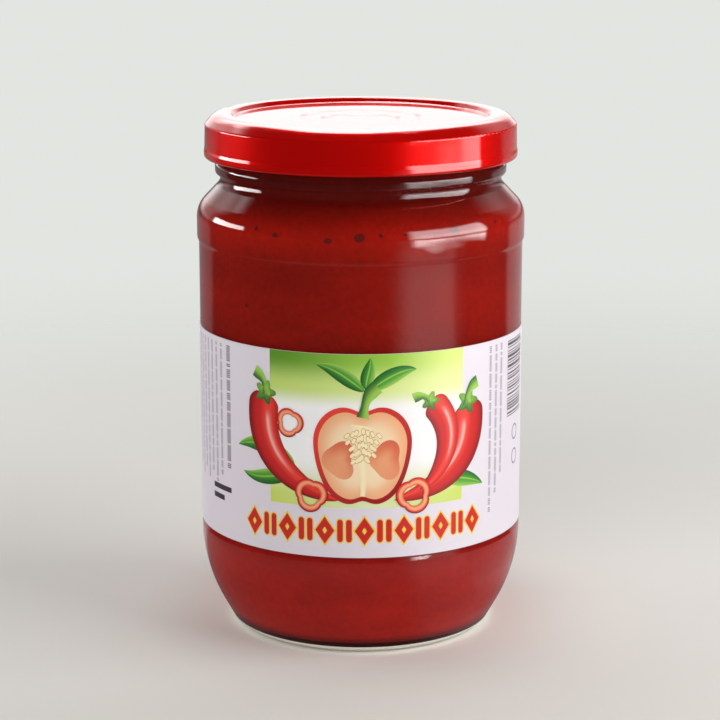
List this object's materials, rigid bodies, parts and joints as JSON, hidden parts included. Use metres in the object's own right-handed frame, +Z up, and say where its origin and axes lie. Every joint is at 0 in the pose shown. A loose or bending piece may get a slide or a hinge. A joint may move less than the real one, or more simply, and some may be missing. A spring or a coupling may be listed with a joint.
{
  "type": "jar of pepper puree",
  "caption": "Glass preserve jar filled with red pepper puree, closed by a twist-off metal lid and wrapped in a paper label.",
  "frame": {"origin": "centre of the jar's standing ring, on the surface it stands on", "axes": "+Z up along the jar's axis, the front of the label faces -Y"},
  "size_m": [0.091, 0.091, 0.1443],
  "materials": {
    "clear_glass": "clear flint glass, glossy",
    "pepper_puree": "thick wet puree, dark red",
    "red_lacquer": "glossy red lacquer on tinplate",
    "label_paper": "coated label paper, semi-gloss, printed"
  },
  "bodies": {
    "root": {"glass_jar": "clear_glass", "pepper_puree": "pepper_puree", "twist_off_lid": "red_lacquer", "paper_label": "label_paper"}
  },
  "joints": []
}
